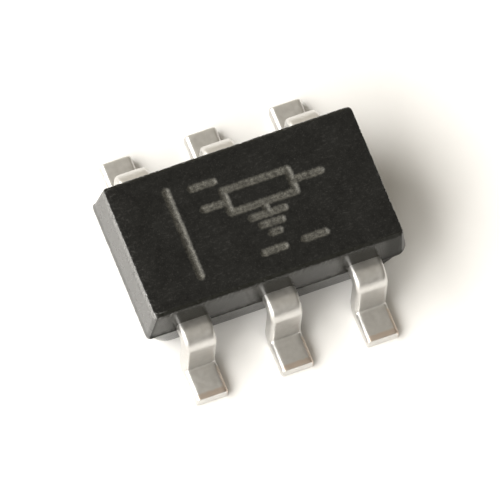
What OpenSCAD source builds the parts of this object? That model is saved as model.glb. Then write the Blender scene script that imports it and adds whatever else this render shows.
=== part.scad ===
// Low-dropout voltage regulator in a small surface-mount package with six leads.
// A black moulded block holds a silicon die on a copper lead frame, and three
// gull-wing leads leave each long side. Sizes are in millimetres.
// X runs along the body, Y runs out along the leads, and Z rises from the solder plane.

/* [Moulded body] */
// Length of the body at its parting line
body_length = 2.90; // [2.70:0.01:3.50]
// Width of the body at its parting line
body_width = 1.57; // [1.40:0.01:1.90]
// Height of the upper mould half, above the parting line
upper_height = 0.49; // [0.40:0.005:0.70]
// Height of the lower mould half, below the parting line
lower_height = 0.575; // [0.475:0.005:0.75]
// Gap between the solder plane and the underside of the body
standoff = 0.07; // [0.02:0.01:0.15]
// Draft of the upper half at the two ends, in degrees
upper_end_draft = 8.5; // [3:0.5:14]
// Draft of the upper half along the two lead sides, in degrees
upper_side_draft = 1.5; // [1:0.5:12]
// Draft of the lower half at the two ends, in degrees
lower_end_draft = 10; // [3:0.5:14]
// Draft of the lower half along the two lead sides, in degrees
lower_side_draft = 11; // [1:0.5:14]
// Radius of the upright corners, seen from above, at the top and at the parting line
corner_radius = 0.05; // [0.04:0.01:0.12]
// Radius at the parting line of the corner beside lead 3, where the resin entered the mould
gate_corner_radius = 0.14; // [0.05:0.01:0.20]
// Radius of the upright corners at the underside
underside_corner_radius = 0.25; // [0.06:0.01:0.30]
// Radius of the edges of the top face along the lead sides, and round the underside
edge_radius = 0.04; // [0.01:0.005:0.05]
// Radius of the sharper edges of the top face at the two ends
end_edge_radius = 0.012; // [0.005:0.001:0.05]
// Ledge where the lower mould half is smaller than the upper one
mould_step = 0.01; // [0.005:0.001:0.02]

/* [Lead frame] */
// Distance between neighbouring leads
lead_pitch = 0.95; // [0.80:0.01:1.14]
// Width of each lead
lead_width = 0.35; // [0.25:0.01:0.42]
// Thickness of the copper strip
lead_thickness = 0.15; // [0.10:0.01:0.18]
// Depth of the strip's underside below the parting line
frame_seat = 0.01; // [0.00:0.005:0.05]
// Smallest gap between two pieces of the frame
frame_gap = 0.10; // [0.06:0.01:0.14]

/* [Gull wings] */
// Level run of a lead outside the body, before its upper bend
shoulder_run = 0.07; // [0.02:0.01:0.20]
// Inside radius of the upper bend
upper_bend_radius = 0.05; // [0.03:0.01:0.10]
// Inside radius of the lower bend
lower_bend_radius = 0.04; // [0.02:0.01:0.10]
// Slope of the riser between the bends, in degrees from level
riser_angle = 89; // [70:1:89]
// Level run of the soldered foot, from the lower bend to the tip
foot_run = 0.31; // [0.20:0.01:0.50]

/* [Anchors in the mould] */
// Run of a lead from the body's side to the head that anchors it
lock_run = 0.15; // [0.12:0.01:0.18]
// Radius of the two half-round notches in each lead
notch_radius = 0.045; // [0.03:0.005:0.05]
// Distance of the notches from the body's side
notch_inset = 0.085; // [0.07:0.005:0.12]
// Width that the head of a corner lead adds towards the body's end
corner_ear = 0.06; // [0.02:0.01:0.08]
// Depth of the head of a corner lead
corner_head_depth = 0.44; // [0.30:0.01:0.50]
// Width that the head of the middle lead adds on each side
middle_ear = 0.12; // [0.04:0.01:0.20]

/* [Die paddle] */
// Rim of the paddle beyond the die at the two ends
paddle_end_rim = 0.19; // [0.10:0.01:0.20]
// Rim of the paddle beyond the die along the two sides
paddle_side_rim = 0.07; // [0.04:0.01:0.08]
// Depth of the paddle below the leads
downset = 0.17; // [0.10:0.01:0.18]
// Width of the neck that joins the paddle to the ground lead
neck_width = 0.24; // [0.16:0.01:0.30]
// Level run between the paddle and the slope of the neck
neck_land = 0.03; // [0.01:0.01:0.05]

/* [Die] */
// Length of the silicon die
die_length = 0.90; // [0.75:0.01:1.08]
// Width of the silicon die
die_width = 0.58; // [0.50:0.01:0.64]
// Thickness of the silicon die
die_height = 0.20; // [0.10:0.01:0.24]
// Thickness of the silver-filled adhesive under the die
attach_height = 0.02; // [0.01:0.005:0.04]
// Rim of the adhesive beyond the die
attach_rim = 0.02; // [0.005:0.005:0.03]

/* [Bond wires] */
// Diameter of the bond wire
wire_diameter = 0.025; // [0.018:0.001:0.030]
// Diameter of the ball that joins the wire to the die
ball_diameter = 0.064; // [0.045:0.001:0.075]
// Height of the ball
ball_height = 0.014; // [0.008:0.001:0.020]
// Height of the wire loop's guide points above the die
loop_height = 0.165; // [0.10:0.005:0.18]
// Length of the flattened stitch that joins the wire to the lead
stitch_length = 0.07; // [0.05:0.01:0.09]
// Distance of the bond pads from the edge of the die
pad_inset = 0.08; // [0.06:0.01:0.12]
// Distance of the first pad of a corner lead from the die's long axis
pad_row_start = 0.05; // [0.04:0.01:0.07]
// Distance between two pads of one corner lead
pad_step = 0.14; // [0.09:0.01:0.15]
// Distance of a stitch from the near edge of its lead's head
stitch_inset = 0.12; // [0.08:0.01:0.15]
// Distance between two stitches on one corner lead
stitch_step = 0.16; // [0.10:0.01:0.18]

/* [Hidden] */

mould_black = [0.15, 0.15, 0.145];
tin_grey = [0.71, 0.69, 0.66];
silicon_grey = [0.33, 0.36, 0.42];
silver_paste = [0.78, 0.78, 0.79];
wire_copper = [0.85, 0.56, 0.36];

// Heights of the main planes
parting_z = standoff + lower_height;
frame_bottom = parting_z - frame_seat;
frame_top = frame_bottom + lead_thickness;
paddle_top = frame_top - downset;
die_bottom = paddle_top + attach_height;
die_top = die_bottom + die_height;

// Plan of the frame: every piece is placed from the die or from the body's side
side_y = body_width / 2;
paddle_length = die_length + 2 * paddle_end_rim;
paddle_width = die_width + 2 * paddle_side_rim;
head_outer_y = side_y - lock_run;
corner_head_inner_y = head_outer_y - corner_head_depth;
corner_head_inner_x = paddle_length / 2 + frame_gap;
corner_head_outer_x = lead_pitch + lead_width / 2 + corner_ear;
middle_head_inner_y = paddle_width / 2 + frame_gap;
slope_inner_y = paddle_width / 2 + neck_land;
slope_outer_y = slope_inner_y + downset;

// Side view of a gull wing: two bends joined by the straight riser
bend_start = side_y + shoulder_run;
bend_sum = upper_bend_radius + lower_bend_radius + lead_thickness;
riser_run = (frame_bottom - bend_sum * (1 - cos(riser_angle))) / sin(riser_angle);
foot_start = bend_start + bend_sum * sin(riser_angle) + riser_run * cos(riser_angle);

film = 0.001;
ring_sides = 8;
loop_rings = 9;
$fn = 48;

// Four thin corner discs that stand for one level slice of a mould half
module corner_discs(half_l, half_w, radius, gate_radius, z) {
    for (x = [-1, 1], y = [-1, 1]) {
        r = x > 0 && y < 0 ? gate_radius : radius;
        translate([x * (half_l - r), y * (half_w - r), z - film])
            cylinder(h = film, r = r, $fn = 32);
    }
}

// How far a rounded edge has drawn in at a depth below the face that it rounds
function edge_inset(radius, depth) =
    depth >= radius ? 0 : radius - sqrt(radius * radius - pow(radius - depth, 2));

// One mould half, standing on the parting plane, with drafted sides and rounded edges;
// drafts and edges give the ends first and the lead sides second
module mould_half(height, drafts, edges, step, face_corner_radius) {
    hull() {
        corner_discs(
            body_length / 2 - step, side_y - step, corner_radius, gate_corner_radius, film
        );
        for (a = [0 : 22.5 : 90]) {
            depth = max(edges) * (1 - sin(a));
            z = height - depth;
            corner_discs(
                body_length / 2 - step - z * tan(drafts[0]) - edge_inset(edges[0], depth),
                side_y - step - z * tan(drafts[1]) - edge_inset(edges[1], depth),
                face_corner_radius, face_corner_radius, z
            );
        }
    }
}

// Both mould halves, before the frame, the die and the wires take their room
module mould_block() {
    upper_drafts = [upper_end_draft, upper_side_draft];
    lower_drafts = [lower_end_draft, lower_side_draft];
    top_edges = [end_edge_radius, edge_radius];
    underside_edges = [edge_radius, edge_radius];
    translate([0, 0, parting_z]) {
        mould_half(upper_height, upper_drafts, top_edges, 0, corner_radius);
        mirror([0, 0, 1])
            mould_half(
                lower_height, lower_drafts, underside_edges, mould_step, underside_corner_radius
            );
    }
}

// Quarter-ring of strip between two directions, bent round the origin
module strip_bend(inside_radius, from, to) {
    reach = 2 * (inside_radius + lead_thickness);
    intersection() {
        difference() {
            circle(r = inside_radius + lead_thickness);
            circle(r = inside_radius);
        }
        polygon([[0, 0], reach * [cos(from), sin(from)], reach * [cos(to), sin(to)]]);
    }
}

// Side view of the formed lead from its upper bend to its tip, with Y to the right
module gull_wing_side() {
    translate([bend_start, frame_bottom - upper_bend_radius]) {
        strip_bend(upper_bend_radius, 90 - riser_angle, 90);
        rotate(-riser_angle)
            translate([0, upper_bend_radius])
                square([riser_run, lead_thickness]);
    }
    translate([foot_start, lead_thickness + lower_bend_radius])
        strip_bend(lower_bend_radius, 270 - riser_angle, 270);
    translate([foot_start, 0])
        square([foot_run, lead_thickness]);
}

// Stretch of strip in side view, drawn along Y and given its width along X
module across(width) {
    rotate([90, 0, 90])
        translate([0, 0, -width / 2])
            linear_extrude(height = width)
                children();
}

// Flat stretch of the frame, drawn in plan at the level of the leads
module at_frame() {
    translate([0, 0, frame_bottom])
        linear_extrude(height = lead_thickness)
            children();
}

// Formed part of one lead and the notched shank that it leaves the body with
module lead_shank(x) {
    translate([x, 0, 0])
        across(lead_width)
            gull_wing_side();
    at_frame()
        difference() {
            translate([x - lead_width / 2, head_outer_y])
                square([lead_width, bend_start - head_outer_y]);
            for (edge = [-1, 1])
                translate([x + edge * lead_width / 2, side_y - notch_inset])
                    circle(r = notch_radius);
        }
}

// Corner lead towards +X, with the head that carries its stitches
module corner_lead() {
    lead_shank(lead_pitch);
    at_frame()
        translate([corner_head_inner_x, corner_head_inner_y])
            square([corner_head_outer_x - corner_head_inner_x, corner_head_depth]);
}

// Middle lead with a T-shaped head that stops short of the paddle
module middle_lead() {
    head_width = lead_width + 2 * middle_ear;
    lead_shank(0);
    at_frame()
        translate([-head_width / 2, middle_head_inner_y])
            square([head_width, head_outer_y - middle_head_inner_y]);
}

// Side view of the neck, which steps down from the leads to the paddle
module neck_side() {
    mitre = lead_thickness * tan(22.5);
    polygon([
        [head_outer_y, frame_top],
        [slope_outer_y, frame_top],
        [slope_inner_y, paddle_top],
        [paddle_width / 2, paddle_top],
        [paddle_width / 2, paddle_top - lead_thickness],
        [slope_inner_y + mitre, paddle_top - lead_thickness],
        [slope_outer_y + mitre, frame_bottom],
        [head_outer_y, frame_bottom]
    ]);
}

// Plate that carries the die, with a half-round anchor notch in each end
module paddle() {
    translate([0, 0, paddle_top - lead_thickness])
        linear_extrude(height = lead_thickness)
            difference() {
                square([paddle_length, paddle_width], center = true);
                for (end = [-1, 1])
                    translate([end * paddle_length / 2, 0])
                        circle(r = 2 * notch_radius);
            }
}

// Ground lead, stamped in one piece with its neck and the die paddle
module ground_lead() {
    lead_shank(0);
    across(neck_width)
        neck_side();
    paddle();
}

// Leads 1 to 3 leave the -Y side from left to right, and 4 to 6 the +Y side from right to left
module lead_strip(n) {
    turn = n < 4 ? 180 : 0;
    rotate([0, 0, turn])
        if (n == 2)
            ground_lead();
        else if (n == 5)
            middle_lead();
        else if (n == 1 || n == 4)
            corner_lead();
        else
            mirror([1, 0, 0])
                corner_lead();
}

// Rounded plate of adhesive that the die is pressed into
module attach_plate() {
    half_l = die_length / 2;
    half_w = die_width / 2;
    translate([0, 0, paddle_top])
        linear_extrude(height = attach_height)
            hull()
                for (x = [-half_l, half_l], y = [-half_w, half_w])
                    translate([x, y])
                        circle(r = attach_rim, $fn = 24);
}

// Block of silicon
module die_block() {
    translate([-die_length / 2, -die_width / 2, die_bottom])
        cube([die_length, die_width, die_height]);
}

// Signs of the corner or side that a lead serves
function lead_x_sign(n) = n == 1 || n == 6 ? -1 : n == 3 || n == 4 ? 1 : 0;
function lead_y_sign(n) = n < 4 ? -1 : 1;

// Plan position of a wire's ball; place is 0 or 1 on a corner lead with two wires, else 0.5
function ball_at(n, place) =
    lead_x_sign(n) == 0
        ? [0, lead_y_sign(n) * (die_width / 2 - pad_inset)]
        : [
            lead_x_sign(n) * (die_length / 2 - pad_inset),
            lead_y_sign(n) * (pad_row_start + place * pad_step)
        ];

// Plan position of the far end of a wire's stitch
function stitch_at(n, place) =
    n == 2 ? [0, -(slope_outer_y + stitch_inset)]
    : n == 5 ? [0, middle_head_inner_y + stitch_inset]
    : [
        lead_x_sign(n) * (corner_head_inner_x + stitch_inset),
        lead_y_sign(n) * (corner_head_inner_y + stitch_length + place * stitch_step)
    ];

// Point of a cubic curve, and its unit direction
function cubic(p, u) =
    pow(1 - u, 3) * p[0] + 3 * pow(1 - u, 2) * u * p[1] + 3 * (1 - u) * u * u * p[2] + pow(u, 3) * p[3];
function cubic_way(p, u) =
    let (d = pow(1 - u, 2) * (p[1] - p[0]) + 2 * (1 - u) * u * (p[2] - p[1]) + u * u * (p[3] - p[2]))
    d / norm(d);

// Rings of a wire as [run, height, direction, half width, half height]: ball, loop and stitch
function wire_rings(span) =
    let (
        r = wire_diameter / 2,
        ball_r = ball_diameter / 2,
        neck_z = die_top + ball_height + r,
        stitch_start = span - stitch_length,
        guide_z = die_top + loop_height,
        curve = [[0, neck_z], [0, guide_z], [0.5 * span, guide_z], [stitch_start, frame_top + r]],
        up = [0, 1],
        level = [1, 0]
    )
    concat(
        [
            [0, die_top, up, ball_r, ball_r],
            [0, die_top + ball_height, up, ball_r, ball_r],
            [0, neck_z, up, r, r]
        ],
        [
            for (i = [1 : loop_rings])
                let (u = i / (loop_rings + 1), at = cubic(curve, u))
                [at[0], at[1], cubic_way(curve, u), r, r]
        ],
        [
            [stitch_start, frame_top + r, level, r, r],
            [stitch_start + 0.4 * stitch_length, frame_top + 0.5 * r, level, 1.5 * r, 0.5 * r],
            [span, frame_top + 0.2 * r, level, 1.3 * r, 0.2 * r]
        ]
    );

// Corner points of one ring, in the wire's own upright plane
function ring_points(ring) =
    let (grow = 1 / cos(180 / ring_sides))
    [
        for (j = [0 : ring_sides - 1])
            let (
                a = (j + 0.5) * 360 / ring_sides,
                side = ring[3] * grow * cos(a),
                rise = ring[4] * grow * sin(a)
            )
            [ring[0] - rise * ring[2][1], side, ring[1] + rise * ring[2][0]]
    ];

// One bond wire from its pad on the die to its lead
module bond_wire(n, place) {
    from = ball_at(n, place);
    run = stitch_at(n, place) - from;
    rings = wire_rings(norm(run));
    last = len(rings) - 1;
    points = [for (ring = rings) each ring_points(ring)];
    sides = [
        for (k = [0 : last - 1], j = [0 : ring_sides - 1])
            let (a = k * ring_sides + j, b = k * ring_sides + (j + 1) % ring_sides)
            each [[a, a + ring_sides, b + ring_sides], [a, b + ring_sides, b]]
    ];
    start_cap = [for (j = [0 : ring_sides - 1]) j];
    end_cap = [for (j = [ring_sides - 1 : -1 : 0]) last * ring_sides + j];
    translate([from[0], from[1], 0])
        rotate([0, 0, atan2(run[1], run[0])])
            polyhedron(points = points, faces = concat([start_cap], sides, [end_cap]));
}

// All eight bond wires
module bond_wires() {
    bond_wire(1, 0);
    bond_wire(1, 1);
    bond_wire(2, 0.5);
    bond_wire(3, 0.5);
    bond_wire(4, 0.5);
    bond_wire(5, 0.5);
    bond_wire(6, 0);
    bond_wire(6, 1);
}

module mould_body() {
    color(mould_black)
        difference() {
            mould_block();
            for (n = [1 : 6])
                lead_strip(n);
            attach_plate();
            die_block();
            bond_wires();
        }
}
module lead_1() { color(tin_grey) lead_strip(1); }
module lead_2_with_paddle() { color(tin_grey) lead_strip(2); }
module lead_3() { color(tin_grey) lead_strip(3); }
module lead_4() { color(tin_grey) lead_strip(4); }
module lead_5() { color(tin_grey) lead_strip(5); }
module lead_6() { color(tin_grey) lead_strip(6); }
module die_attach() { color(silver_paste) attach_plate(); }
module die() { color(silicon_grey) die_block(); }
module wire_input_a() { color(wire_copper) bond_wire(1, 0); }
module wire_input_b() { color(wire_copper) bond_wire(1, 1); }
module wire_ground() { color(wire_copper) bond_wire(2, 0.5); }
module wire_enable() { color(wire_copper) bond_wire(3, 0.5); }
module wire_bypass() { color(wire_copper) bond_wire(4, 0.5); }
module wire_sense() { color(wire_copper) bond_wire(5, 0.5); }
module wire_output_a() { color(wire_copper) bond_wire(6, 0); }
module wire_output_b() { color(wire_copper) bond_wire(6, 1); }

mould_body();
lead_1();
lead_2_with_paddle();
lead_3();
lead_4();
lead_5();
lead_6();
die_attach();
die();
wire_input_a();
wire_input_b();
wire_ground();
wire_enable();
wire_bypass();
wire_sense();
wire_output_a();
wire_output_b();
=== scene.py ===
import math

import bmesh
import bpy
from mathutils import Matrix, Vector, noise


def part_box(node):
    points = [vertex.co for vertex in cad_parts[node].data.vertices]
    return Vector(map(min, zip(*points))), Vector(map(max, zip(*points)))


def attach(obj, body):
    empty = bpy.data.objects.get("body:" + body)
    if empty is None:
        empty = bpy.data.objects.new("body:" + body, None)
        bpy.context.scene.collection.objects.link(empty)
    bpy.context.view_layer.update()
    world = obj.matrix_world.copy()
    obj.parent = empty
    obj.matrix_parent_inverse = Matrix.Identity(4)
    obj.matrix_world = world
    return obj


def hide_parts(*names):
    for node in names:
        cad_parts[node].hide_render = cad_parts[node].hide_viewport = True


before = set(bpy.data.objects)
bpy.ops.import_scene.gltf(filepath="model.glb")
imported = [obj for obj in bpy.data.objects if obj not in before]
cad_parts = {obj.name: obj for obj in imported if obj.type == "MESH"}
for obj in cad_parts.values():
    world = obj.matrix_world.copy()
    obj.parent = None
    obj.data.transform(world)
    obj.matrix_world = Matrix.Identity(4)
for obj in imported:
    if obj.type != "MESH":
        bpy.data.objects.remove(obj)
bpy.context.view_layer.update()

# The camera looks steeply down on the lead 1 corner of the package, from a macro
# lens' distance and with a little roll, so the body lies aslant in the picture.
camera_azimuth = math.radians(-27.37)
camera_elevation = math.radians(66.79)
camera_roll = math.radians(6.71)
camera_target = Vector((-0.0000837, -0.0001918, 0.0006))
camera_distance = 0.121528
picture_side_px = 500
focal_length_px = 11742
camera_data = bpy.data.cameras.new("macro_camera")
camera_data.sensor_width = 36
camera_data.lens = camera_data.sensor_width * focal_length_px / picture_side_px
camera_data.clip_start = 0.001
camera_data.clip_end = 10
camera_back = Vector((
    math.sin(camera_azimuth) * math.cos(camera_elevation),
    -math.cos(camera_azimuth) * math.cos(camera_elevation),
    math.sin(camera_elevation),
))
level_turn = (-camera_back).to_track_quat("-Z", "Y").to_matrix()
camera = bpy.data.objects.new("macro_camera", camera_data)
camera.rotation_mode = "QUATERNION"
camera.location = camera_target + camera_back * camera_distance
camera.rotation_quaternion = (level_turn @ Matrix.Rotation(camera_roll, 3, "Z")).to_quaternion()
bpy.context.scene.collection.objects.link(camera)
bpy.context.scene.camera = camera

# The body is one block of black epoxy compound, moulded round the lead frame in a
# two-part mould. Its polished walls are drafted both ways from the parting line, and
# the top is finely eroded, with an index bar and a symbol burnt in by a laser.
MM = 0.001
# Sizes are in millimetres until to_piece turns a finished shape into metres
underside_corner, top_corner = (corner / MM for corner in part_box("mould_body"))
body_half_length = top_corner.x
body_half_width = top_corner.y
body_top = top_corner.z
body_underside = underside_corner.z
parting_height = 0.645
upper_end_draft, upper_side_draft = math.radians(8.5), math.radians(1.5)
lower_end_draft, lower_side_draft = math.radians(10), math.radians(11)
mould_step = 0.01
corner_radius = 0.05
gate_corner_radius = 0.14
underside_corner_radius = 0.25
edge_radius = 0.04
end_edge_radius = 0.012
flash_rise = 0.03
flash_bulge = 0.005
flash_raggedness = 0.003
back_fullness = 0.04
wall_waviness = 0.0012
erosion_height = 0.0008
end_nick_depth = 0.03
side_nick_depth = 0.01
top_cell = 0.009
top_face_skin = 0.001

stroke_half_width = 0.037
stroke_depth = 0.022
index_bar = [((-0.77, -0.495), (-0.77, 0.51))]
date_dashes = [
    ((-0.51, 0.45), (-0.27, 0.45)),
    ((-0.06, -0.475), (0.165, -0.475)),
    ((0.39, -0.47), (0.62, -0.47)),
]
# The symbol is a plain box with a line in, a line out and a tap to ground
box_left, box_right, box_low, box_high = -0.22, 0.50, 0.06, 0.32
line_y = 0.19
ground_x = 0.14
regulator_symbol = [
    ((box_left, box_low), (box_right, box_low)),
    ((box_right, box_low), (box_right, box_high)),
    ((box_right, box_high), (box_left, box_high)),
    ((box_left, box_high), (box_left, box_low)),
    ((-0.47, line_y), (box_left, line_y)),
    ((box_right, line_y), (0.82, line_y)),
    ((ground_x, box_low), (ground_x, -0.07)),
    ((ground_x - 0.18, -0.07), (ground_x + 0.18, -0.07)),
    ((ground_x - 0.11, -0.18), (ground_x + 0.11, -0.18)),
    ((ground_x - 0.04, -0.29), (ground_x + 0.04, -0.29)),
]
laser_strokes = [
    (Vector(start), Vector(end)) for start, end in index_bar + date_dashes + regulator_symbol
]


def smooth_step(low, high, value):
    share = min(max((value - low) / (high - low), 0.0), 1.0)
    return share * share * (3 - 2 * share)


def unevenness(point, wavelength, seed):
    return noise.noise(point / wavelength + Vector((seed, 0.37 * seed, -seed)))


def distance_to_strokes(point):
    nearest = math.inf
    for start, end in laser_strokes:
        along = end - start
        share = min(max((point - start).dot(along) / along.length_squared, 0.0), 1.0)
        nearest = min(nearest, (point - start - share * along).length)
    return nearest


def edge_inset(radius, depth):
    """How far a rounded edge has drawn in at a depth below the face that it rounds."""
    return 0.0 if depth >= radius else radius - math.sqrt(radius**2 - (radius - depth) ** 2)


def mould_outline(height, half, bulge=0.0):
    """Half length, half width, corner radius and gate corner radius of a level slice."""
    if half == "upper":
        face, end_draft, side_draft = body_top, upper_end_draft, upper_side_draft
        step, end_edge, face_corner_radius = 0.0, end_edge_radius, corner_radius
    else:
        face, end_draft, side_draft = body_underside, lower_end_draft, lower_side_draft
        step, end_edge, face_corner_radius = mould_step, edge_radius, underside_corner_radius
    away = abs(height - parting_height)
    share = away / abs(face - parting_height)
    depth = abs(face - height)
    grown = bulge - step
    return (
        body_half_length + grown - away * math.tan(end_draft) - edge_inset(end_edge, depth),
        body_half_width + grown - away * math.tan(side_draft) - edge_inset(edge_radius, depth),
        corner_radius + share * (face_corner_radius - corner_radius),
        gate_corner_radius + share * (face_corner_radius - gate_corner_radius),
    )


def corner_core(x, y, outline):
    """Centre of the round corner on this side of the slice, and the corner's radius."""
    half_l, half_w, radius, gate_radius = outline
    radius = gate_radius if x > 0 and y < 0 else radius
    return half_l - radius, half_w - radius, radius


def round_sheet_corner(x, y, outline):
    """Place on a sheet with round corners of a point on the same sheet with sharp ones."""
    core_x, core_y, _ = corner_core(x, y, outline)
    over_x = abs(x) - core_x
    over_y = abs(y) - core_y
    if over_x <= 0 or over_y <= 0:
        return x, y
    reach = max(over_x, over_y)
    angle = math.pi / 4 * min(over_x, over_y) / reach
    if over_y > over_x:
        angle = math.pi / 2 - angle
    return (
        math.copysign(core_x + reach * math.cos(angle), x),
        math.copysign(core_y + reach * math.sin(angle), y),
    )


def move_to_outline(vert, old, new, height):
    """Takes a rim point from one outline to the matching place on the next one."""
    old_x, old_y, _ = corner_core(vert.co.x, vert.co.y, old)
    new_x, new_y, new_radius = corner_core(vert.co.x, vert.co.y, new)
    core = Vector((min(max(vert.co.x, -old_x), old_x), min(max(vert.co.y, -old_y), old_y)))
    outward = (vert.co.xy - core).normalized()
    vert.co = (
        core.x * new_x / old_x + new_radius * outward.x,
        core.y * new_y / old_y + new_radius * outward.y,
        height,
    )


def mould_levels():
    """Levels from the top face to the underside: height, outline and share of flash."""
    upper_wall_rows = 7
    lower_wall_rows = 5
    levels = []
    for depth in (0.0006, 0.002, 0.0045, 0.008, 0.016, 0.027, edge_radius):
        levels.append((body_top - depth, "upper", 0.0, 0.0))
    wall = body_top - edge_radius - parting_height - flash_rise
    for row in range(1, upper_wall_rows + 1):
        height = body_top - edge_radius - row / upper_wall_rows * wall
        levels.append((height, "upper", 0.0, 0.0))
    for rise, bulge in ((0.024, 0.5), (0.012, 1.0), (0.001, 1.0)):
        levels.append((parting_height + rise, "upper", flash_bulge * bulge, 1.0))
    for fall, bulge in ((0.001, 0.2), (0.012, 0.1), (0.024, 0.0)):
        levels.append((parting_height - fall, "lower", flash_bulge * bulge, 1.0))
    wall = parting_height - flash_rise - body_underside - edge_radius
    for row in range(lower_wall_rows + 1):
        height = parting_height - flash_rise - row / lower_wall_rows * wall
        levels.append((height, "lower", 0.0, 0.0))
    for rise in (0.027, 0.016, 0.008, 0.002, 0):
        levels.append((body_underside + rise, "lower", 0.0, 0.0))
    return [
        (height, mould_outline(height, half, bulge), flash)
        for height, half, bulge, flash in levels
    ]


def moulded_block():
    """A fine sheet for the top face, with its rim pushed down level by level."""
    underside_margin = 0.02
    block = bmesh.new()
    grain = block.verts.layers.float.new("grain")
    flash = block.verts.layers.float.new("flash")
    block.verts.layers.float.new("laser")
    block.verts.layers.float.new("wear_and_highlight")
    outline = mould_outline(body_top, "upper")
    bmesh.ops.create_grid(
        block,
        x_segments=round(2 * outline[0] / top_cell),
        y_segments=round(2 * outline[1] / top_cell),
        size=1,
    )
    for vert in block.verts:
        x, y = round_sheet_corner(vert.co.x * outline[0], vert.co.y * outline[1], outline)
        vert.co = (x, y, body_top)
        vert[grain] = 1.0
    rim = [edge for edge in block.edges if edge.is_boundary]
    for height, next_outline, flash_share in mould_levels():
        pushed = bmesh.ops.extrude_edge_only(block, edges=rim)["geom"]
        rim = [item for item in pushed if isinstance(item, bmesh.types.BMEdge) and item.is_boundary]
        for vert in {vert for edge in rim for vert in edge.verts}:
            move_to_outline(vert, outline, next_outline, height)
            vert[flash] = flash_share
            vert[grain] = 0.0
        outline = next_outline
    underside = bmesh.ops.contextual_create(block, geom=rim)["faces"]
    bmesh.ops.inset_region(block, faces=underside, thickness=underside_margin)
    bmesh.ops.recalc_face_normals(block, faces=block.faces)
    for edge in block.edges:
        middle = (edge.verts[0].co + edge.verts[1].co) / 2
        on_parting_line = abs(middle.z - parting_height) < 0.002
        at_an_end = abs(middle.x) > body_half_length - 0.03
        if on_parting_line and at_an_end:
            edge.smooth = False
    return block


def fill_out_back(block):
    """Leans the back wall out to the parting line, where the two mould halves sit unevenly."""
    for vert in block.verts:
        share = min((body_top - vert.co.z) / (body_top - parting_height), 1.0)
        vert.co.y += back_fullness * share * (vert.co.y + body_half_width) / (2 * body_half_width)


def laser_burn(point):
    """How pale the laser has burnt a place on the top face, and how deep it went."""
    stroke_raggedness = 0.008
    away = distance_to_strokes(point.xy)
    away += stroke_raggedness * unevenness(point, wavelength=0.03, seed=7.0)
    burn = 1 - smooth_step(0.5 * stroke_half_width, 1.5 * stroke_half_width, away)
    core = 1 - smooth_step(0.1 * stroke_half_width, 0.8 * stroke_half_width, away)
    trough = 1 - smooth_step(0.2 * stroke_half_width, 1.3 * stroke_half_width, away)
    charring = unevenness(point, wavelength=0.035, seed=17.0)
    bite = unevenness(point, wavelength=0.05, seed=5.0)
    paleness = burn * (0.92 - 0.3 * core + 0.4 * charring)
    return paleness, stroke_depth * trough * (1 + 0.3 * bite)


def bar_end_scuffs(point):
    """Patchy wear on the top face, in the margin at the end with the bar."""
    top_inset = 0.07
    worn_margin = 0.2
    from_bar_end = point.x + body_half_length - top_inset
    patches = max(unevenness(point, wavelength=0.03, seed=23.0) + 0.1, 0.0)
    return smooth_step(worn_margin, 0.0, from_bar_end) * patches


def gate_dullness(point):
    """How dull the walls are round the corner where the compound entered the mould."""
    clear_x, dull_x = 1.1, 1.25
    clear_y, dull_y = -0.55, -0.7
    return smooth_step(clear_x, dull_x, point.x) * smooth_step(clear_y, dull_y, point.y)


def weather_block(block):
    """Burns the marks in and gives each face its fine unevenness, all in the mesh."""
    laser = block.verts.layers.float["laser"]
    flash = block.verts.layers.float["flash"]
    wear_and_highlight = block.verts.layers.float["wear_and_highlight"]
    block.normal_update()
    moves = []
    for vert in block.verts:
        point = vert.co.copy()
        way = vert.normal.copy()
        end_facing = smooth_step(0.3, 0.6, abs(way.x))
        on_top_face = point.z > body_top - top_face_skin
        on_top_edge = point.z > body_top - edge_radius and abs(way.z) < 0.98
        lift = wall_waviness * unevenness(point, wavelength=0.16, seed=3.0)
        if on_top_face:
            vert[laser], trough = laser_burn(point)
            vert[wear_and_highlight] = bar_end_scuffs(point)
            lift += erosion_height * unevenness(point, wavelength=0.028, seed=11.0)
            lift -= trough
        if on_top_edge:
            nick = max(unevenness(point, wavelength=0.03, seed=2.0) - 0.05, 0.0)
            lift -= (end_nick_depth if abs(way.x) > 0.3 else side_nick_depth) * nick
            # Paler grey on the nicked top edge of the ends is a painted highlight, standing for the
            # lamp's glint along that edge.
            vert[wear_and_highlight] = end_facing * smooth_step(-0.15, 0.25, nick)
        if vert[flash] > 0:
            lift += flash_raggedness * unevenness(point, wavelength=0.04, seed=9.0)
            # The flash band on the end walls is painted paler as well. This is painted light, like
            # the lit end walls.
            vert[wear_and_highlight] = 0.3 * vert[flash] * end_facing
            vert[flash] *= smooth_step(0.3, 0.8, abs(way.y))
            way.z = 0
        if not on_top_face:
            vert[flash] = max(vert[flash], gate_dullness(point))
        moves.append((vert, way * lift))
    for vert, move in moves:
        vert.co += move


def to_piece(shape, name, materials):
    """Turns a shape drawn in millimetres into a smooth-shaded object in metres."""
    bmesh.ops.scale(shape, vec=(MM, MM, MM), verts=shape.verts)
    for face in shape.faces:
        face.smooth = True
    mesh = bpy.data.meshes.new(name)
    shape.to_mesh(mesh)
    shape.free()
    for material in materials:
        mesh.materials.append(material)
    piece = bpy.data.objects.new(name, mesh)
    bpy.context.scene.collection.objects.link(piece)
    return piece


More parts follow.
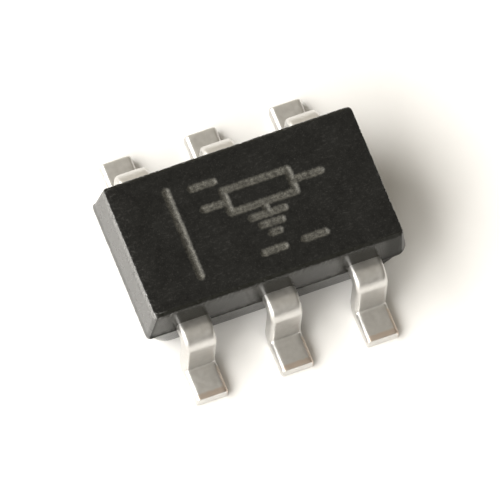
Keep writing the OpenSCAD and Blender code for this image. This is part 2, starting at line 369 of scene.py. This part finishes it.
class Finish:
    """The nodes of a material or of the room, whose patterns follow one set of coordinates."""

    def __init__(self, owner, shader="Principled BSDF", coordinates="Object"):
        self.owner = owner
        self.owner.use_nodes = True
        self.tree = self.owner.node_tree
        self.shader = self.tree.nodes[shader]
        self.place = self.tree.nodes.new("ShaderNodeTexCoord").outputs[coordinates]

    def feed(self, socket, value):
        if isinstance(value, bpy.types.NodeSocket):
            self.tree.links.new(value, socket)
        else:
            socket.default_value = value

    def node(self, kind, inputs, **settings):
        made = self.tree.nodes.new(kind)
        for key, value in settings.items():
            setattr(made, key, value)
        for socket, value in inputs.items():
            self.feed(made.inputs[socket], value)
        return made

    def grains(self, size, detail=3.0, stretch=(1, 1, 1)):
        """Soft noise whose grains are about size metres across, or drawn out along an axis."""
        place = self.node("ShaderNodeMapping", {"Vector": self.place, "Scale": stretch}).outputs[0]
        settings = {"Vector": place, "Scale": 1 / size, "Detail": detail}
        return self.node("ShaderNodeTexNoise", settings).outputs["Fac"]

    def drawn(self, attribute):
        """A value that was drawn on the mesh, point by point."""
        return self.node("ShaderNodeAttribute", {}, attribute_name=attribute).outputs["Fac"]

    def combine(self, operation, first, second):
        return self.node("ShaderNodeMath", {0: first, 1: second}, operation=operation).outputs[0]

    def remap(self, value, low, high, to_low=0.0, to_high=1.0):
        ends = {"From Min": low, "From Max": high, "To Min": to_low, "To Max": to_high}
        return self.node("ShaderNodeMapRange", {"Value": value, **ends}).outputs[0]

    def mix(self, share, first, second):
        """Mixes two colours by a share from 0 to 1."""
        blend = self.node("ShaderNodeMix", {0: share, 6: first, 7: second}, data_type="RGBA")
        return blend.outputs[2]

    def relief(self, height, depth):
        return self.node("ShaderNodeBump", {"Height": height, "Distance": depth}).outputs[0]

    def give(self, **values):
        """Sets or links the shader's sockets, and hands over what the nodes belong to."""
        for socket, value in values.items():
            self.feed(self.shader.inputs[socket.replace("_", " ")], value)
        return self.owner


def eroded_epoxy():
    """Matt black top face: silica grains in black resin, and the laser's pale burnt strokes."""
    finish = Finish(bpy.data.materials.new("eroded_epoxy"))
    bared_silica = (0.03, 0.029, 0.027, 1)
    laser = finish.drawn("laser")
    silica = finish.grains(12e-6, detail=4.0)
    mottle = finish.grains(50e-6)
    clouds = finish.grains(300e-6)
    scuffs = finish.grains(24e-6, detail=4.0, stretch=(0.5, 1, 1))
    black = finish.mix(
        finish.remap(mottle, 0.3, 0.7), (0.002, 0.002, 0.0016, 1), (0.0055, 0.0055, 0.0045, 1)
    )
    black = finish.mix(finish.remap(clouds, 0.45, 0.7, 0.0, 0.5), black, (0.009, 0.009, 0.008, 1))
    black = finish.mix(finish.remap(silica, 0.58, 0.70, 0.0, 0.7), black, bared_silica)
    rubbed = finish.combine(
        "MULTIPLY", finish.remap(scuffs, 0.56, 0.68), finish.remap(clouds, 0.45, 0.6, 0.12, 0.4)
    )
    black = finish.mix(rubbed, black, bared_silica)
    # Pale grey here is real scuffing at the bar end, plus a painted highlight at the rim next to
    # the end edges.
    wear_and_highlight = finish.combine("MULTIPLY", finish.drawn("wear_and_highlight"), finish.remap(silica, 0.4, 0.6))
    black = finish.mix(wear_and_highlight, black, (0.05, 0.049, 0.046, 1))
    burnt = finish.mix(
        finish.remap(silica, 0.35, 0.65), (0.055, 0.053, 0.046, 1), (0.15, 0.145, 0.125, 1)
    )
    return finish.give(
        Base_Color=finish.mix(laser, black, burnt),
        Roughness=finish.remap(mottle, 0.3, 0.7, 0.46, 0.58),
        Specular_IOR_Level=0.22,
        Normal=finish.relief(silica, 1.5e-6),
    )


def polished_epoxy(name, dark, light, polish, gloss):
    """Walls with the mould's polish, rough where the flash and the gate have left it so."""
    finish = Finish(bpy.data.materials.new(name))
    pale_wear_and_highlight_grey = (0.19, 0.19, 0.185, 1)
    flash_roughness = 0.55
    flash = finish.drawn("flash")
    silica = finish.grains(14e-6, detail=4.0)
    mottle = finish.grains(60e-6)
    roughness = finish.combine(
        "ADD",
        finish.remap(flash, 0.0, 1.0, polish, flash_roughness),
        finish.remap(mottle, 0.3, 0.7, -0.02, 0.03),
    )
    tooth = finish.combine("MULTIPLY", silica, finish.remap(flash, 0.0, 1.0, 0.15, 1.0))
    colour = finish.mix(finish.remap(mottle, 0.3, 0.7), dark, light)
    # Grey mixed in by the drawn value is a painted highlight on the end edges and the end flash.
    return finish.give(
        Base_Color=finish.mix(finish.drawn("wear_and_highlight"), colour, pale_wear_and_highlight_grey),
        Roughness=roughness,
        Specular_IOR_Level=gloss,
        Normal=finish.relief(tooth, 2e-6),
    )


block = moulded_block()
fill_out_back(block)
weather_block(block)
end_slot, side_slot, top_slot = 0, 1, 2
grain_share = block.verts.layers.float["grain"]
for face in block.faces:
    if all(vert[grain_share] > 0.5 for vert in face.verts):
        face.material_index = top_slot
    elif abs(face.normal.x) > 0.5 and face.normal.z < 0.9:
        face.material_index = end_slot
    else:
        face.material_index = side_slot
# The end walls are a lit copy of the side walls. Their colour is painted about four times paler, as
# painted light from the lamp on the left, and their gloss is higher.
painted_lit_end_epoxy = polished_epoxy(
    "painted_lit_end_epoxy", (0.042, 0.042, 0.041, 1), (0.056, 0.056, 0.054, 1), polish=0.28, gloss=0.95
)
side_epoxy = polished_epoxy(
    "side_epoxy", (0.009, 0.009, 0.007, 1), (0.016, 0.016, 0.014, 1), polish=0.22, gloss=0.22
)
body = to_piece(block, "moulded_body", [painted_lit_end_epoxy, side_epoxy, eroded_epoxy()])
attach(body, "root")
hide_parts("mould_body")

# Each lead is a strip of copper stamped with the frame, bent down and out to a gull
# wing after moulding, and plated with matt tin. Its inner end carries the bond wires.
# The front leads show bare copper behind their sheared tips. Copper brown is also painted along the
# foot's rim on the shaded right side, as painted shade.
lead_width = 0.35
lead_pitch = 0.95
strip = 0.15
strip_underside = 0.635
shoulder_end = body_half_width + 0.07
upper_bend = 0.05
lower_bend = 0.024
riser_slope = math.radians(89)
foot_length = 0.332
head_outer_y = body_half_width - 0.15
notch_y = body_half_width - 0.085
notch_radius = 0.045
strip_half_width = 0.178
strip_die_roll = 0.05
strip_edge_round = 0.015
tip_round = 0.02
stamping_step = 0.03
sheared_slope_run = 0.003


def grow_strip(shape, end, keep_end=False):
    """Doubles the end of the strip, ready to be moved on, and returns the new end."""
    grown = bmesh.ops.extrude_face_region(shape, geom=end)["geom"]
    if not keep_end:
        bmesh.ops.delete(shape, geom=end, context="FACES")
    end = [item for item in grown if isinstance(item, bmesh.types.BMFace)]
    return end, list({vert for face in end for vert in face.verts})


def run_straight(shape, end, offset):
    """Runs the strip on by an offset in short steps."""
    steps = max(1, round(offset.length / stamping_step))
    for _ in range(steps):
        end, verts = grow_strip(shape, end)
        bmesh.ops.translate(shape, vec=offset / steps, verts=verts)
    return end


def bend_strip(shape, end, centre, angle, steps):
    """Bends the strip on round a line along X, as the forming tool does."""
    for _ in range(steps):
        end, verts = grow_strip(shape, end)
        turn = Matrix.Rotation(angle / steps, 3, "X")
        bmesh.ops.rotate(shape, cent=centre, matrix=turn, verts=verts)
    return end


def set_strip_width(verts, low_x, high_x):
    """Stretches a cross-section to reach from low_x to high_x."""
    old_low = min(vert.co.x for vert in verts)
    old_high = max(vert.co.x for vert in verts)
    for vert in verts:
        vert.co.x = low_x + (vert.co.x - old_low) * (high_x - low_x) / (old_high - old_low)


def cut_to_width(shape, end, low_x, high_x, advance=sheared_slope_run):
    """Goes on with another width, after an advance towards the middle of the body."""
    end, verts = grow_strip(shape, end)
    set_strip_width(verts, low_x, high_x)
    bmesh.ops.translate(shape, vec=(0, -advance, 0), verts=verts)
    return end


def strip_section(shape, centre_x, y):
    """Cross-section of the strip, whose upper edges the stamping punch has drawn round."""
    columns = 12
    side_rows = 3
    roll_rows = 6
    bmesh.ops.create_grid(shape, x_segments=columns, y_segments=side_rows + roll_rows, size=1)
    corners = [vert for vert in shape.verts if len(vert.link_edges) == 2 and vert.co.y < 0]
    for vert in shape.verts:
        row = (vert.co.y + 1) / 2 * (side_rows + roll_rows)
        up_side = min(row / side_rows, 1.0)
        lean = math.pi / 2 * max(row - side_rows, 0.0) / roll_rows
        half = strip_half_width - strip_die_roll * (1 - math.cos(lean))
        height = (strip - strip_die_roll) * up_side + strip_die_roll * math.sin(lean)
        vert.co = (vert.co.x * half, height - strip / 2, 0)
    bmesh.ops.bevel(
        shape,
        geom=corners,
        affect="VERTICES",
        offset=strip_edge_round,
        segments=4,
        profile=0.5,
        material=-1,
    )
    for vert in shape.verts:
        vert.co = (centre_x + vert.co.x, y, strip_underside + strip / 2 + vert.co.y)
    return list(shape.faces)


def form_gull_wing(shape, end):
    """Forms the shoulder, the riser and the foot out along +Y, with a dulled tip."""
    upper_steps = 14
    lower_steps = 12
    tip_turn = 30
    end, verts = grow_strip(shape, end, keep_end=True)
    bmesh.ops.translate(shape, vec=(0, shoulder_end - body_half_width, 0), verts=verts)
    upper_centre = (0, shoulder_end, strip_underside - upper_bend)
    end = bend_strip(shape, end, upper_centre, -riser_slope, upper_steps)
    bend_sum = upper_bend + lower_bend + strip
    riser = (strip_underside - bend_sum * (1 - math.cos(riser_slope))) / math.sin(riser_slope)
    down = Vector((0, math.cos(riser_slope), -math.sin(riser_slope)))
    end = run_straight(shape, end, riser * down)
    foot_start = shoulder_end + bend_sum * math.sin(riser_slope) + riser * math.cos(riser_slope)
    lower_centre = (0, foot_start, strip + lower_bend)
    end = bend_strip(shape, end, lower_centre, riser_slope, lower_steps)
    end = run_straight(shape, end, Vector((0, foot_length - tip_round, 0)))
    tip_centre = Vector((0, 0, strip / 2))
    for degrees in range(tip_turn, 91, tip_turn):
        end, verts = grow_strip(shape, end)
        tip_centre.x = sum(vert.co.x for vert in verts) / len(verts)
        angle, last_angle = math.radians(degrees), math.radians(degrees - tip_turn)
        shrink = tip_round * (math.cos(angle) - math.cos(last_angle))
        ahead = tip_round * (math.sin(angle) - math.sin(last_angle))
        bmesh.ops.scale(
            shape,
            vec=(1 + 2 * shrink / lead_width, 1, 1 + 2 * shrink / strip),
            space=Matrix.Translation(-tip_centre),
            verts=verts,
        )
        bmesh.ops.translate(shape, vec=(0, ahead, 0), verts=verts)


def notched_shank(shape, end, centre_x):
    """Runs the shank inwards past its two half-round anchor notches."""
    for degrees in range(0, 181, 20):
        angle = math.radians(degrees)
        half = lead_width / 2 - notch_radius * math.sin(angle)
        advance = max(vert.co.y for face in end for vert in face.verts)
        advance -= notch_y + notch_radius * math.cos(angle)
        end = cut_to_width(shape, end, centre_x - half, centre_x + half, advance)
    return run_straight(shape, end, Vector((0, head_outer_y - (notch_y - notch_radius), 0)))


def tin_plate():
    """Satin tin, brushed along the lead by the plating line, with patches of bare copper and
    copper-brown painted shade on one rim.
    """
    finish = Finish(bpy.data.materials.new("tin_plate"))
    tip = finish.drawn("tip")
    patches = finish.grains(50e-6, detail=4.0)
    brushed = finish.grains(20e-6, stretch=(1, 0.12, 0.12))
    tin = finish.mix(finish.remap(patches, 0.3, 0.7), (0.63, 0.62, 0.60, 1), (0.69, 0.68, 0.66, 1))
    bare = finish.combine("ADD", tip, finish.remap(patches, 0.3, 0.7, -0.25, 0.25))
    bare = finish.remap(bare, 0.2, 0.9, 0.0, 0.6)
    return finish.give(
        Base_Color=finish.mix(bare, tin, (0.63, 0.48, 0.37, 1)),
        Metallic=1.0,
        Roughness=finish.remap(patches, 0.3, 0.7, 0.36, 0.44),
        Normal=finish.relief(brushed, 0.25e-6),
    )


def bare_copper_and_painted_shade(vert, tip_y):
    """How much copper brown a place gets: bare copper on top just behind the sheared tip, and
    painted shade on the foot's rim.
    """
    band_start = tip_y - 0.055
    band_end = tip_y - 0.03
    foot_start = tip_y - foot_length
    rim_start = foot_start + 0.08
    behind_tip = smooth_step(band_start, band_end, vert.co.y)
    on_top = smooth_step(0.4, 0.9, vert.normal.z)
    # On the front leads this rim turns to the right, shaded side, so its copper brown is painted
    # shade.
    painted_shade_rim = smooth_step(foot_start, rim_start, vert.co.y)
    painted_shade_rim *= smooth_step(0.1, 0.5, -vert.normal.x)
    return max(behind_tip * on_top, 0.9 * painted_shade_rim)


def formed_lead(name, centre_x, shape_head, turned):
    """One finished lead: formed outside the body, with its own kind of inner end."""
    strip_waviness = 0.0008
    shape = bmesh.new()
    copper_and_shade_share = shape.verts.layers.float.new("tip")
    section = strip_section(shape, centre_x, body_half_width)
    form_gull_wing(shape, section)
    shape_head(shape, notched_shank(shape, section, centre_x))
    bmesh.ops.recalc_face_normals(shape, faces=shape.faces)
    tip_y = max(vert.co.y for vert in shape.verts)
    shape.normal_update()
    moves = []
    for vert in shape.verts:
        vert[copper_and_shade_share] = bare_copper_and_painted_shade(vert, tip_y - tip_round) if turned else 0.0
        swell = unevenness(vert.co, wavelength=0.12, seed=centre_x * 5 + turned)
        moves.append((vert, vert.normal * (strip_waviness * swell)))
    for vert, move in moves:
        vert.co += move
        vert.co.z = max(vert.co.z, 0.0)
    if turned:
        half_turn = Matrix.Rotation(math.pi, 3, "Z")
        bmesh.ops.rotate(shape, cent=(0, 0, 0), matrix=half_turn, verts=shape.verts)
    piece = to_piece(shape, name, [tin])
    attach(piece, "root")
    return piece


def corner_head(shape, end):
    """Wide pad beside the paddle, with an ear towards the end of the body."""
    pad_inner_x = 0.74
    pad_ear = 0.06
    pad_depth = 0.44
    side = math.copysign(1, sum(vert.co.x for vert in end[0].verts))
    low_x, high_x = sorted((side * pad_inner_x, side * (lead_pitch + lead_width / 2 + pad_ear)))
    end = cut_to_width(shape, end, low_x, high_x)
    run_straight(shape, end, Vector((0, -pad_depth, 0)))


def middle_head(shape, end):
    """T-shaped pad that stops short of the paddle."""
    pad_ear = 0.12
    pad_depth = 0.16
    half = lead_width / 2 + pad_ear
    end = cut_to_width(shape, end, -half, half)
    run_straight(shape, end, Vector((0, -pad_depth, 0)))


def paddle_head(shape, end):
    """Neck that steps down to the die paddle, with a half-round notch in each paddle end."""
    paddle_half_length = 0.64
    paddle_half_width = 0.36
    paddle_notch = 0.09
    neck_half_width = 0.12
    neck_run = 0.06
    neck_land = 0.03
    downset = 0.17
    notch_turn = 15
    end = cut_to_width(shape, end, -neck_half_width, neck_half_width)
    end = run_straight(shape, end, Vector((0, -neck_run, 0)))
    end = run_straight(shape, end, Vector((0, -downset, -downset)))
    end = run_straight(shape, end, Vector((0, -neck_land, 0)))
    end = cut_to_width(shape, end, -paddle_half_length, paddle_half_length)
    end = run_straight(shape, end, Vector((0, paddle_notch - paddle_half_width, 0)))
    for degrees in range(notch_turn, 181, notch_turn):
        angle, last_angle = math.radians(degrees), math.radians(degrees - notch_turn)
        half = paddle_half_length - paddle_notch * math.sin(angle)
        advance = paddle_notch * (math.cos(last_angle) - math.cos(angle))
        end = cut_to_width(shape, end, -half, half, advance)
    run_straight(shape, end, Vector((0, paddle_notch - paddle_half_width, 0)))


tin = tin_plate()
lead_1 = formed_lead("gull_wing_1", lead_pitch, corner_head, turned=True)
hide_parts("lead_1")
lead_2 = formed_lead("gull_wing_2_with_paddle", 0.0, paddle_head, turned=True)
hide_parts("lead_2_with_paddle")
lead_3 = formed_lead("gull_wing_3", -lead_pitch, corner_head, turned=True)
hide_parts("lead_3")
lead_4 = formed_lead("gull_wing_4", lead_pitch, corner_head, turned=False)
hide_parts("lead_4")
lead_5 = formed_lead("gull_wing_5", 0.0, middle_head, turned=False)
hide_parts("lead_5")
lead_6 = formed_lead("gull_wing_6", -lead_pitch, corner_head, turned=False)
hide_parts("lead_6")


# Inside the body the silicon die sits in silver-filled adhesive on the paddle, and
# fine copper wires join it to the leads. Nothing of them shows on the finished part.
def silver_adhesive():
    """Silver flakes in a grey resin."""
    finish = Finish(bpy.data.materials.new("silver_adhesive"))
    flakes = finish.grains(10e-6, detail=5.0)
    colour = finish.mix(
        finish.remap(flakes, 0.3, 0.7), (0.55, 0.55, 0.56, 1), (0.80, 0.80, 0.82, 1)
    )
    relief = finish.relief(flakes, 2e-6)
    return finish.give(Base_Color=colour, Metallic=0.6, Roughness=0.45, Normal=relief)


def silicon():
    """Lapped silicon with the grid of its cells and the paler lines of metal between them."""
    finish = Finish(bpy.data.materials.new("silicon"))
    cells = finish.node(
        "ShaderNodeTexBrick",
        {
            "Vector": finish.place,
            "Scale": 9000.0,
            "Color1": (0.16, 0.18, 0.24, 1),
            "Color2": (0.22, 0.20, 0.24, 1),
            "Mortar": (0.36, 0.34, 0.30, 1),
        },
    ).outputs["Color"]
    lapping = finish.grains(8e-6)
    roughness = finish.remap(lapping, 0.3, 0.7, 0.12, 0.22)
    return finish.give(Base_Color=cells, Metallic=0.3, Roughness=roughness)


def wire_copper():
    """Bright copper with the faint texture of drawn wire."""
    finish = Finish(bpy.data.materials.new("wire_copper"))
    drawing = finish.grains(6e-6)
    colour = finish.mix(
        finish.remap(drawing, 0.3, 0.7), (0.80, 0.47, 0.30, 1), (0.90, 0.58, 0.39, 1)
    )
    roughness = finish.remap(drawing, 0.3, 0.7, 0.18, 0.3)
    return finish.give(Base_Color=colour, Metallic=1.0, Roughness=roughness)


wire_finish = wire_copper()
inner_finishes = {"die_attach": silver_adhesive(), "die": silicon()}
for name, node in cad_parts.items():
    if name in inner_finishes or name.startswith("wire_"):
        node.data.materials.clear()
        node.data.materials.append(inner_finishes.get(name, wire_finish))

# A plain white sheet lies under the part. A wide soft lamp stands to the left, with a
# smaller one to the front left, so the shadow falls to the right. The dim room's white
# backdrop shows in reflections only, most of all in the tin.
sheet_half_side = 1500
sheet_shape = bmesh.new()
bmesh.ops.create_grid(sheet_shape, x_segments=1, y_segments=1, size=sheet_half_side)
sheet_finish = Finish(bpy.data.materials.new("white_sheet"))
sheet_colour = sheet_finish.mix(
    sheet_finish.grains(200e-6), (0.91, 0.90, 0.88, 1), (0.93, 0.92, 0.90, 1)
)
sheet_paint = sheet_finish.give(Base_Color=sheet_colour, Roughness=0.9, Specular_IOR_Level=0.1)
sheet = to_piece(sheet_shape, "white_sheet", [sheet_paint])


def soft_lamp(name, bearing, elevation, width, height, energy):
    """A lamp one metre from the part, facing it."""
    way = Vector((
        math.cos(math.radians(bearing)) * math.cos(math.radians(elevation)),
        math.sin(math.radians(bearing)) * math.cos(math.radians(elevation)),
        math.sin(math.radians(elevation)),
    ))
    lamp_data = bpy.data.lights.new(name, "AREA")
    lamp_data.shape = "RECTANGLE"
    lamp_data.size = width
    lamp_data.size_y = height
    lamp_data.energy = energy
    lamp_data.color = (1.0, 0.985, 0.96)
    lamp = bpy.data.objects.new(name, lamp_data)
    lamp.location = way
    lamp.rotation_mode = "QUATERNION"
    lamp.rotation_quaternion = (-way).to_track_quat("-Z", "Y")
    lamp.visible_camera = False
    bpy.context.scene.collection.objects.link(lamp)


soft_lamp("left_softbox", bearing=172, elevation=39, width=1.5, height=0.9, energy=22.0)
soft_lamp("front_left_softbox", bearing=228, elevation=27, width=0.8, height=0.6, energy=6.5)

room = Finish(bpy.data.worlds.new("room"), "Background", "Generated")
sight = room.node("ShaderNodeSeparateXYZ", {0: room.place}).outputs
ceiling = room.remap(sight["Z"], 0.0, 0.95, 0.15, 0.41)
backdrop = room.combine(
    "MULTIPLY", room.remap(sight["Y"], 0.3, 0.7, 0.0, 0.5), room.remap(sight["Z"], 0.85, 0.7)
)
mirrored = room.node("ShaderNodeLightPath", {}).outputs["Is Glossy Ray"]
bpy.context.scene.world = room.give(
    Color=(1.0, 0.93, 0.80, 1),
    Strength=room.combine("ADD", ceiling, room.combine("MULTIPLY", backdrop, mirrored)),
)
bpy.context.scene.view_settings.view_transform = "Standard"
